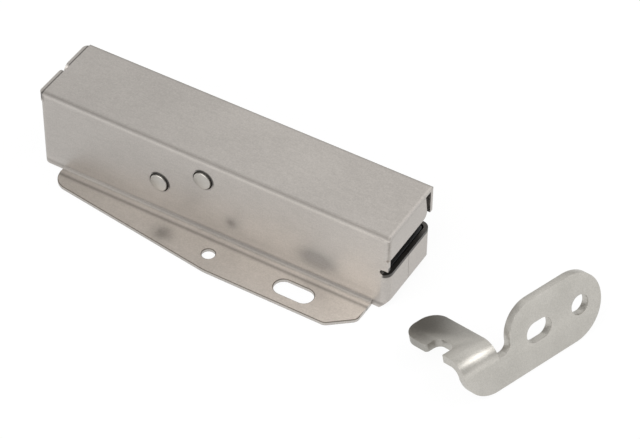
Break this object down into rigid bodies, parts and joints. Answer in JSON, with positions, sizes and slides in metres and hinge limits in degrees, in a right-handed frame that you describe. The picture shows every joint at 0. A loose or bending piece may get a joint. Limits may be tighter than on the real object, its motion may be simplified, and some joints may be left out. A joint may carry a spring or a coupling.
{
  "type": "touch latch",
  "caption": "Push-to-open latch in a folded sheet housing with a fixing flange, and the hooked keeper plate that enters its slot.",
  "frame": {"origin": "axis of the flange's round fixing hole on the mounting plane", "axes": "+X along the housing towards its slot, +Y from the flange to the far wall, +Z off the mounting plane"},
  "size_m": [0.1362, 0.0389, 0.0228],
  "materials": {
    "stainless_sheet": "satin",
    "keeper_plate": "satin",
    "inner_sheet": "satin",
    "rivet_metal": "polished",
    "small_steel": "polished",
    "spring_wire": "satin",
    "acetal": "satin",
    "cam_acetal": "satin",
    "soft_pad": "matte"
  },
  "bodies": {
    "shell": {"housing": "stainless_sheet", "keeper": "keeper_plate", "chassis": "inner_sheet", "cam_block": "cam_acetal", "rear_rivet": "rivet_metal", "front_rivet": "rivet_metal", "guide_rod": "small_steel", "spring_cup": "acetal", "main_spring": "spring_wire"},
    "carriage": {"carriage_base": "acetal", "carriage_cap": "acetal", "carriage_screws": "small_steel", "catch_pin": "small_steel", "catch_clip": "small_steel", "catch_spring": "spring_wire", "stop_pad": "soft_pad", "follower_pin": "small_steel", "leaf_spring": "spring_wire"},
    "catch": {"catch": "small_steel"},
    "follower": {"follower": "small_steel", "follower_peg": "small_steel"}
  },
  "joints": [
    {"name": "carriage_slide", "type": "slide", "parent": "shell", "child": "carriage", "axis": [-1, 0, 0], "range_m": [0, 0.008], "stiffness_N_per_m": 1650, "springref_m": -0.009, "deforming": ["main_spring"]},
    {"name": "catch_swing", "type": "hinge", "parent": "carriage", "child": "catch", "pos_m": [0.019, 0.01375, 0.01295], "axis": [0, 0, 1], "range_deg": [0, 7.8]},
    {"name": "follower_swing", "type": "hinge", "parent": "carriage", "child": "follower", "pos_m": [0.006, 0.01374, 0.0155], "axis": [0, 1, 0], "range_deg": [0, 7.1], "stiffness_Nm_per_rad": 0.00005, "springref_deg": 67.61}
  ],
  "couplings": [
    {"joint": "catch_swing", "follows": "carriage_slide", "rad_per_m": 16.36},
    {"joint": "follower_swing", "follows": "carriage_slide", "rad_per_m": 14.7}
  ]
}
